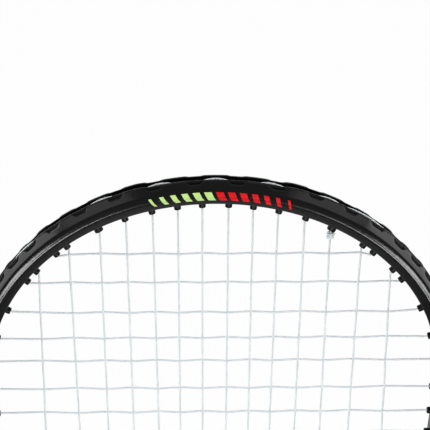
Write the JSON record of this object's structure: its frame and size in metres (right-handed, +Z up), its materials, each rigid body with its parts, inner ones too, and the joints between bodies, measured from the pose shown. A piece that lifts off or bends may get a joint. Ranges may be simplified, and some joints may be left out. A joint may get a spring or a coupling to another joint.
{
  "type": "crossminton racket",
  "caption": "Strung crossminton racket: oval hoop with notched outer ridges, wishbone throat, short shaft and wrapped octagonal handle.",
  "frame": {"origin": "centre of the butt's end, on the surface the racket stands on", "axes": "+Z up the length from the butt to the crown of the head, +X to the right, the front face towards -Y"},
  "size_m": [0.226, 0.033, 0.585],
  "materials": {
    "frame_lacquer": "black gloss lacquer over a fibre composite tube",
    "grommet_nylon": "black moulded nylon",
    "string_gut": "pale synthetic gut",
    "pallet_foam": "rigid foam",
    "butt_plastic": "black moulded plastic",
    "screw_steel": "zinc-plated steel",
    "grip_strap": "black perforated grip tape",
    "finishing_tape": "black vinyl tape",
    "collar_rubber": "black rubber"
  },
  "bodies": {
    "root": {"hoop": "frame_lacquer", "throat_fork": "frame_lacquer", "grommets_crown_right": "grommet_nylon", "grommets_crown_left": "grommet_nylon", "grommets_tie_off_crown_right": "grommet_nylon", "grommets_tie_off_crown_left": "grommet_nylon", "grommets_shoulder_right": "grommet_nylon", "grommets_shoulder_left": "grommet_nylon", "grommets_side_upper_right": "grommet_nylon", "grommets_side_upper_left": "grommet_nylon", "grommets_side_middle_right": "grommet_nylon", "grommets_side_middle_left": "grommet_nylon", "grommets_side_lower_right": "grommet_nylon", "grommets_side_lower_left": "grommet_nylon", "grommets_flank_right": "grommet_nylon", "grommets_flank_left": "grommet_nylon", "grommets_tie_off_throat_right": "grommet_nylon", "grommets_tie_off_throat_left": "grommet_nylon", "grommets_haunch_right": "grommet_nylon", "grommets_haunch_left": "grommet_nylon", "grommets_throat_right": "grommet_nylon", "grommets_throat_left": "grommet_nylon", "racket_string": "string_gut", "knot_crown": "string_gut", "knot_throat": "string_gut", "pallet_front": "pallet_foam", "pallet_back": "pallet_foam", "butt_cap": "butt_plastic", "butt_plug": "butt_plastic", "cap_screw_front": "screw_steel", "cap_screw_back": "screw_steel", "grip_strap": "grip_strap", "finishing_tape": "finishing_tape", "rubber_collar": "collar_rubber"}
  },
  "joints": []
}
